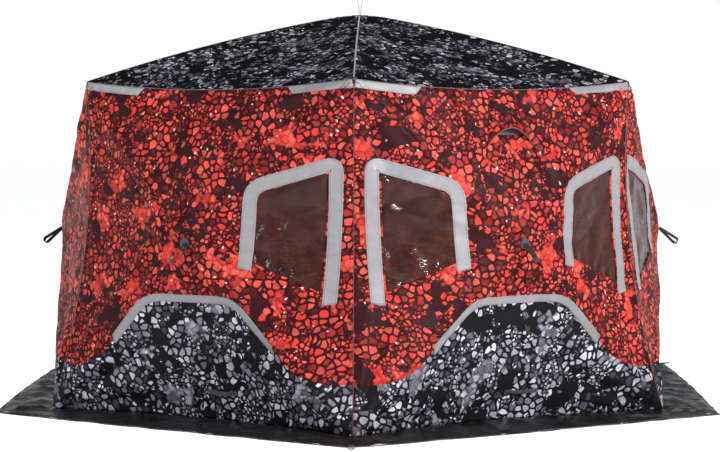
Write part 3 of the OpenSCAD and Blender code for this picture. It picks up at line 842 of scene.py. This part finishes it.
def make_roof(k):
    u, f = np.linspace(-1, 1, 97), np.concatenate([[-.03], np.linspace(0, 1, 85)])
    uu, ff = np.meshgrid(u, f)
    points = roof_points(k, uu, ff, roof_wrinkles(k, uu.ravel(), ff.ravel()))
    uvs = np.stack([uu.ravel() * .9 * (np.clip(ff.ravel(), 0, 1) * .95 + .05) + k * 2.3, ff.ravel() * 1.62], -1)
    n = len(u)
    faces = [(j * n + i, (j + 1) * n + i, (j + 1) * n + i + 1, j * n + i + 1)
             for j in range(len(f) - 1) for i in range(n - 1)]
    obj = new_object(f"roof_cloth_{k}", points, faces, [ROOF_CLOTH, ROOF_BACK], uvs)
    thicken(obj, CLOTH_T, 1)
    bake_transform(obj)
    return obj


def tube(name, path, radius, mat, sides=8, closed=False, flat=1.0):
    """A cord or piping along a path of row-frame points."""
    path = np.asarray(path, float)
    along = np.gradient(path, axis=0)
    if closed:
        along = np.roll(path, -1, 0) - np.roll(path, 1, 0)
    along /= np.linalg.norm(along, axis=1)[:, None]
    up = np.tile([0, 0, 1.0], (len(path), 1))
    up[np.abs(along[:, 2]) > .8] = [0, 1.0, 0] if abs(along[0, 1]) < .5 else [1.0, 0, 0]
    side = np.cross(along, up)
    side /= np.linalg.norm(side, axis=1)[:, None]
    up = np.cross(side, along)
    rings = []
    for a in np.arange(sides) * 2 * math.pi / sides:
        rings.append(path + side * math.cos(a) * radius + up * math.sin(a) * radius * flat)
    points = np.stack(rings, 1).reshape(-1, 3)
    n, m = len(path), sides
    faces = [(i * m + j, i * m + (j + 1) % m, ((i + 1) % n) * m + (j + 1) % m, ((i + 1) % n) * m + j)
             for i in range(n if closed else n - 1) for j in range(m)]
    if not closed:
        faces += [tuple(range(m))[::-1], tuple((n - 1) * m + j for j in range(m))]
    return joined_faces(name, points, faces, mat)


def joined_faces(name, points, faces, mat):
    mesh = bpy.data.meshes.new(name)
    mesh.from_pydata([tuple(p) for p in points], [], faces)
    mesh.materials.append(mat)
    mesh.shade_smooth()
    obj = bpy.data.objects.new(name, mesh)
    bpy.context.scene.collection.objects.link(obj)
    return obj


def make_roof_seam(k):
    """The felled seam over a roof pole, from the washer to a corner."""
    f = np.linspace(.02, .995, 90)
    p = roof_points(k, np.full(90, -1.0), f, .0012)
    obj = tube(f"roof_seam_{k}", p, .0042, ROOF_SEAM, 8, flat=.3)
    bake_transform(obj)


# ---------- seams and bindings that stay with the frame's edges ----------
def make_corner_seam(k):
    """The bound seam between wall k and the wall on its left."""
    v = np.linspace(.002, .985, 150)
    p = turned(seam_line(-1, v), wall_turn(k))
    out = p * [1, 1, 0]
    out /= np.linalg.norm(out, axis=1)[:, None]
    ripple = .0008 * np.sin(v * 260 + k) + .0012 * noise(v * 40, v * 0 + k, 3)
    obj = tube(f"corner_seam_{k}", p + out * (.0004 + ripple)[:, None], .0021, WALL_SEAM, 8)
    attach(obj, "root")


def make_eave_binding():
    u = np.linspace(-1, 1, 61)[:-1]
    path = np.vstack([turned(eave_line(u) * [1, 1, 1] + [.0015, 0, .0005], wall_turn(k)) for k in WALLS])
    obj = tube("eave_binding", path, .0022, ROOF_SEAM, 8, closed=True)
    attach(obj, "root")


# ---------- vents ----------
def make_hood(k):
    """The hood over a vent: it starts flat under the eave and opens to an arched lip."""
    rows, cols = 30, 41
    v, w = np.meshgrid(np.linspace(0, 1, rows), np.linspace(-1, 1, cols), indexing="ij")
    v, w = v.ravel(), w.ravel()
    rise = 1 - w * w
    lip = 1.505 + .078 * rise
    y = .020 + w * (.080 + .068 * v)
    z = 1.792 + (lip - 1.792) * v
    fold = .0035 * np.sin(w * 13 + 2 * noise(w * 2, v * 2, k)) * v + .003 * noise(w * 3, v * 4, k + 4)
    out = .0045 + .040 * rise * v ** 1.25 + fold * smooth((1 - np.abs(w)) / .25)
    points = wall_points(k, np.stack([y, z], -1), out)
    faces = [(i * cols + j, (i + 1) * cols + j, (i + 1) * cols + j + 1, i * cols + j + 1)
             for i in range(rows - 1) for j in range(cols - 1)]
    uvs = np.stack([y + k * 2.7, z], -1) + [.9, .35]
    obj = new_object(f"vent_hood_{k}", points, faces, [RED_CLOTH, RED_BACK], uvs)
    thicken(obj, .0016, 1)
    blend_facet(obj, 1)
    edge = tube(f"vent_lip_{k}", points.reshape(rows, cols, 3)[-1], .0030, WALL_SEAM, 8)
    blend_facet(edge, 1)
    return obj


def make_vent_mesh(k):
    points, faces = triangulated(VENT_MESH, [], [], .02)
    return wall_pieces("vent_mesh", k, points, faces, [MESH], -.0045, .0006)


# ---------- straps ----------
def make_strap(k):
    """A webbing strap sewn to the wall at both ends and bowed out between them."""
    w = np.linspace(-1.18, 1.18, 44)
    rows = np.linspace(-.010, .010, 5)
    ww, rr = np.meshgrid(w, rows)
    bow = .0030 + .0165 * smooth(1 - (np.abs(ww) / 1.0) ** 2 * .97)
    yz = np.stack([.105 + .085 * ww.ravel(), .160 + rr.ravel()], -1)
    points = wall_points(k, yz, bow.ravel())
    n = len(w)
    faces = [(j * n + i, j * n + i + 1, (j + 1) * n + i + 1, (j + 1) * n + i)
             for j in range(len(rows) - 1) for i in range(n - 1)]
    obj = new_object(f"wall_strap_{k}", points, faces, [WEBBING], yz)
    thicken(obj, .0018)
    blend_facet(obj, 3)
    return obj


# ---------- door ----------
HINGE = np.array([[1.686, -.900, .280], [1.544, -.840, 1.570]])


def door_blend(obj):
    """Works out the hinge's middle, its direction and the direction across it towards the wall's hub, and bakes the
    flap's placement into its points.
    """
    start = HINGE.mean(0)
    along = (HINGE[1] - HINGE[0]) / np.linalg.norm(HINGE[1] - HINGE[0])
    across = np.array([FACE_X, 0, HUB_H]) - start
    across -= (across @ along) * along
    across /= np.linalg.norm(across)
    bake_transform(obj)
    return obj


def inset(outline, by):
    """A convex outline drawn in by a distance."""
    centre = outline.mean(0)
    out = []
    for a, b, c in zip(np.roll(outline, 1, 0), outline, np.roll(outline, -1, 0)):
        normals = []
        for p, q in ((a, b), (b, c)):
            d = (q - p) / max(np.linalg.norm(q - p), 1e-9)
            n = np.array([-d[1], d[0]])
            normals.append(n if (centre - p) @ n > 0 else -n)
        n = normals[0] + normals[1]
        out.append(b + by * n / max(.6, (n @ n) / 2))
    return np.array(out)


def make_door():
    k = DOOR_WALL
    outline = inset(DOOR, .0035)
    line = clipped(HEM_LINE, outline)
    points, faces = triangulated(outline, [], line, .019)
    middle = points[faces].mean(1)
    grey = (middle[:, 1] < np.interp(middle[:, 0], HEM_LINE[:, 0], HEM_LINE[:, 1])).astype(int)
    where = wall_points(k, points, .0002)
    obj = new_object("door_cloth", where, faces, [RED_CLOTH, GREY_CLOTH, RED_BACK, GREY_BACK], points + [k * 2.7, 0], grey)
    thicken(obj, CLOTH_T, 2)
    door_blend(obj)
    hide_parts("door_flap")
    return obj


def door_edge(by=0.0):
    """The zip's route: from the hinge's top along the upper edge, round the front and down the lower edge."""
    ring_points = dense(inset(DOOR, by) if by else DOOR, .008)
    first = int(np.argmax(ring_points[:, 0] * -.35 + ring_points[:, 1]))
    last = int(np.argmin(ring_points[:, 0] * .2 + ring_points[:, 1]))
    a, b = sorted((first, last))
    one = ring_points[a:b + 1]
    other = np.vstack([ring_points[b:], ring_points[:a + 1]])
    route = one if one[:, 0].max() > other[:, 0].max() else other
    return route if route[0, 1] > route[-1, 1] else route[::-1]


def make_zip():
    k = DOOR_WALL
    route = door_edge(.0018)
    p, f, t = strip(route, .026, .008)
    tape = new_object("zip_band", wall_points(k, p, -.0042), f, [ZIP], t)
    thicken(tape, .0010)
    blend_facet(tape, FACETS.index("left"))
    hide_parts("door_zip_tape")
    fine = dense(route, .003, False)
    teeth = tube("zip_coil", wall_points(k, fine, -.0016), .0016, ZIP_COIL, 6)
    blend_facet(teeth, FACETS.index("left"))


def boxed(name, low, high, mat, radius):
    """A block with rounded edges."""
    import bmesh
    bm = bmesh.new()
    bmesh.ops.create_cube(bm, size=1)
    low, high = np.array(low), np.array(high)
    for v in bm.verts:
        v.co = Vector(low + (np.array(v.co) + .5) * (high - low))
    bmesh.ops.bevel(bm, geom=bm.edges[:], offset=radius, segments=3, affect="EDGES", profile=.5)
    mesh = bpy.data.meshes.new(name)
    bm.to_mesh(mesh)
    bm.free()
    mesh.materials.append(mat)
    mesh.shade_smooth()
    obj = bpy.data.objects.new(name, mesh)
    bpy.context.scene.collection.objects.link(obj)
    return obj


def make_slider():
    """The zip's slider and its cord pull, hanging from the upper end of the zip."""
    run = turned(np.array([.107, .292, -.174]), wall_turn(DOOR_WALL))
    run /= np.linalg.norm(run)
    out = turned(np.array([.95, -.22, .17]), wall_turn(DOOR_WALL))
    out -= (out @ run) * run
    out /= np.linalg.norm(out)
    side = np.cross(out, run)
    start = turned(np.array([1.553, -.806, 1.549]), wall_turn(DOOR_WALL)) + out * .0025
    parts = [boxed("slider_body", (-.014, 0, .0005), (.014, .012, .0068), STEEL, .0022),
             boxed("slider_bridge", (-.007, .0035, .006), (.006, .0085, .0096), STEEL, .0014),
             boxed("slider_pull", (.004, .003, .0072), (.050, .010, .0100), PLASTIC, .0012)]
    for part in parts:
        for v in part.data.vertices:
            v.co = Vector(start + run * v.co.x + side * v.co.y + out * v.co.z)
        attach(part, "door_zip_slider")
    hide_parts("door_zip_slider")


# ---------- skirt ----------
def skirt_side(n, of):
    """A closed line round the shelter made of six turned sides, n points on each."""
    return np.vstack([turned(of(np.linspace(-1, 1, n + 1)[:-1]), wall_turn(k)) for k in WALLS])


def skirt_edge(u):
    x, y = SKIRT_R * math.cos(HALF), SKIRT_R * math.sin(HALF)
    return np.stack([x + .022 * (1 - u * u), y * u, 0 * u], -1)


def skirt_tuck(u):
    p = base_line(u)
    p[:, :2] *= (1 - .025 / np.linalg.norm(p[:, :2], axis=1))[:, None]
    return p


def make_skirt():
    outer, inner = skirt_side(60, skirt_edge)[:, :2], skirt_side(40, skirt_tuck)[:, :2]
    grommets = [np.array([math.cos(corner_turn(k)), math.sin(corner_turn(k))]) * (SKIRT_R - .060) for k in WALLS]
    a = np.arange(16) * 2 * math.pi / 16
    rings = [g + .0095 * np.stack([np.cos(a), np.sin(a)], -1) for g in grommets]
    points, faces = triangulated(outer, [inner, *rings], [], .021)
    angle = np.arctan2(points[:, 1], points[:, 0])
    from_foot = distance_to(points, inner[::2], True)
    from_edge = distance_to(points, outer[::2], True)
    span = smooth((from_foot - .030) / .05)
    side = angle * 6 / math.pi
    lift = .010 * ridged(side * 4.3, from_foot * 3, 2) + .012 * ridged(side * 9 + from_foot * 8, from_foot * 7, 5)
    lift += .006 * ridged(points[:, 0] * 9, points[:, 1] * 9, 8) + .004 * noise(points[:, 0] * 4, points[:, 1] * 4, 1)
    corner = np.abs(((angle - math.radians(-90) + math.radians(30)) % math.radians(60)) - math.radians(30))
    lift += .016 * np.exp(-(corner / .012) ** 2) * smooth(from_foot / .1)
    lift *= span * (.45 + .55 * smooth(from_edge / .05))
    for g in grommets:
        lift *= smooth((np.linalg.norm(points - g, axis=1) - .022) / .05)
    z = .0016 + lift
    z = np.maximum(z, .0016)
    obj = new_object("skirt_cloth", np.column_stack([points, z]), faces, [VINYL], points)
    thicken(obj, .0014)
    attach(obj, "root")
    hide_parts("snow_skirt")
    rim = skirt_side(60, skirt_edge)
    near = smooth(np.abs(noise(np.arange(len(rim)) * .23, np.zeros(len(rim)), 4)))
    rim[:, 2] = .0034 + .005 * near
    rim[:, :2] *= (1 - .003 / np.linalg.norm(rim[:, :2], axis=1))[:, None]
    hem = tube("skirt_hem", rim, .0030, WEBBING, 8, closed=True)
    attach(hem, "root")


WALL_SEAM = webbing("red_seam_tape", .0020, (.070, .008, .008))
ROOF_SEAM = webbing("grey_seam_tape", .0020, (.016, .016, .019))
ZIP_COIL = moulded("zip_coil_nylon", (.02, .02, .022), .35, 400.0)

for k in WALLS:
    make_roof_seam(k)
    make_corner_seam(k)
roof = [make_roof(k) for k in WALLS]
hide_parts("roof_canopy")
make_eave_binding()
hoods = [make_hood(k) for k in VENTED]
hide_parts("vent_hoods")
meshes = [make_vent_mesh(k) for k in VENTED]
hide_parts("vent_meshes")
straps = [make_strap(k) for k in WALLS]
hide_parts("wall_straps")
make_door()
make_zip()
make_slider()
make_skirt()

# ---------- every sheet as it was cut, worked out from the dimensions and not from the made cloth ----------
def shoelace(outline):
    x, y = np.asarray(outline)[:, 0], np.asarray(outline)[:, 1]
    return abs((x * np.roll(y, -1) - y * np.roll(x, -1)).sum()) / 2


def gore(rim, apex):
    """A cut that runs from a rim line to an apex: ((width, length), area, area over its front view's)."""
    d = rim - apex
    area = .5 * np.linalg.norm(np.cross(d[:-1], d[1:]), axis=1).sum()
    front = .5 * np.abs(d[:-1, 1] * d[1:, 2] - d[:-1, 2] * d[1:, 1]).sum()
    along = (rim[-1] - rim[0]) / np.linalg.norm(rim[-1] - rim[0])
    across = d - (d @ along)[:, None] * along
    width = np.linalg.norm(across, axis=1).max()
    return (float(width), float(np.linalg.norm(rim[-1] - rim[0]))), float(area), float(area / max(front, 1e-9))


ACROSS, UP = np.linspace(-1, 1, 61), np.linspace(0, 1, 61)
WALL_HUB = np.array([FACE_X, 0, HUB_H])
GORES = {"right": gore(seam_line(1, UP), WALL_HUB), "top": gore(eave_line(ACROSS), WALL_HUB),
         "left": gore(seam_line(-1, UP), WALL_HUB), "bottom": gore(base_line(ACROSS), WALL_HUB)}
for k in WALLS:
    for facet, (flat, area, tilt) in GORES.items():
        holes = [WINDOW_HOLE for w, side in WINDOWS if w == k and facet == ("left" if side < 0 else "right")]
        holes += [VENT_HOLE] if k in VENTED and facet == "top" else []
        if k == DOOR_WALL and facet == "left":
            continue  # with the door cut out of it, this gore is skipped
SKIRT_AREA = shoelace(skirt_side(60, skirt_edge)) - shoelace(skirt_side(60, skirt_tuck))

# ---------- the frame's own parts keep their shapes and get their materials ----------
LOOKS = {"eave_corner_sockets": PLASTIC, "base_corner_sockets": PLASTIC, "skirt_grommets": STEEL,
         "corner_tie_loops": CORD, "roof_hub": PLASTIC}
for name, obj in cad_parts.items():
    look = LOOKS.get(name) or (PLASTIC if name.startswith("wall_hub") else POLE if "pole" in name else None)
    if look:
        obj.data.materials.clear()
        obj.data.materials.append(look)


# ---------- floor, light and camera ----------
def make_stage():
    mat, tree, shader = material("pale_floor")
    place = node(tree, "ShaderNodeTexCoord").outputs["Object"]
    tree.links.new(ramp(tree, noise_at(tree, place, .6, 3.0), [(.3, (.58, .58, .58)), (.8, (.61, .61, .61))]),
                   shader.inputs["Base Color"])
    shader.inputs["Roughness"].default_value = .8
    shader.inputs["Emission Color"].default_value = (1, 1, 1, 1)
    shader.inputs["Emission Strength"].default_value = .78
    size = 60
    floor = new_object("floor", [(-size, -size, 0), (size, -size, 0), (size, size, 0), (-size, size, 0)],
                       [(0, 1, 2, 3)], [mat])
    world = bpy.data.worlds.new("studio")
    bpy.context.scene.world = world
    world.use_nodes = True
    tree = world.node_tree
    place = node(tree, "ShaderNodeTexCoord").outputs["Generated"]
    height = maths(tree, "ABSOLUTE", node(tree, "ShaderNodeSeparateXYZ", [("Vector", place)]).outputs[2])
    sky = ramp(tree, height, [(.09, (1.0, 1.0, 1.0)), (.26, (.27, .28, .30))])
    tree.links.new(sky, tree.nodes["Background"].inputs["Color"])
    tree.nodes["Background"].inputs["Strength"].default_value = 1.0
    for name, place, aim, width, power in (
            ("key", (6.0, -7.5, 5.0), (0, 0, 1.0), 1.6, 1250),
            ("fill", (-8.0, -6.5, 4.0), (0, 0, 1.0), 2.4, 480),
            ("top", (1.0, 3.0, 7.5), (0, 0, 1.5), 4.0, 380)):
        light = bpy.data.lights.new(name, "AREA")
        light.energy, light.size = power, width
        obj = bpy.data.objects.new(name, light)
        obj.location = place
        obj.rotation_euler = (Vector(aim) - Vector(place)).to_track_quat("-Z", "Y").to_euler()
        bpy.context.scene.collection.objects.link(obj)
    bpy.context.scene.view_settings.view_transform = "Standard"


def make_camera():
    """Level with a standing person's chest, twelve metres away, looking very slightly down."""
    away, azimuth, height, down = 12.26, math.radians(1.06), 1.648, math.radians(3.07)
    lens = bpy.data.cameras.new("camera")
    lens.lens, lens.sensor_width, lens.sensor_fit = 100, 36, "HORIZONTAL"
    camera = bpy.data.objects.new("camera", lens)
    camera.location = (away * math.sin(azimuth), -away * math.cos(azimuth), height)
    aim = Vector((-math.sin(azimuth) * math.cos(down), math.cos(azimuth) * math.cos(down), -math.sin(down)))
    camera.rotation_euler = aim.to_track_quat("-Z", "Y").to_euler()
    bpy.context.scene.collection.objects.link(camera)
    bpy.context.scene.camera = camera


make_stage()
make_camera()
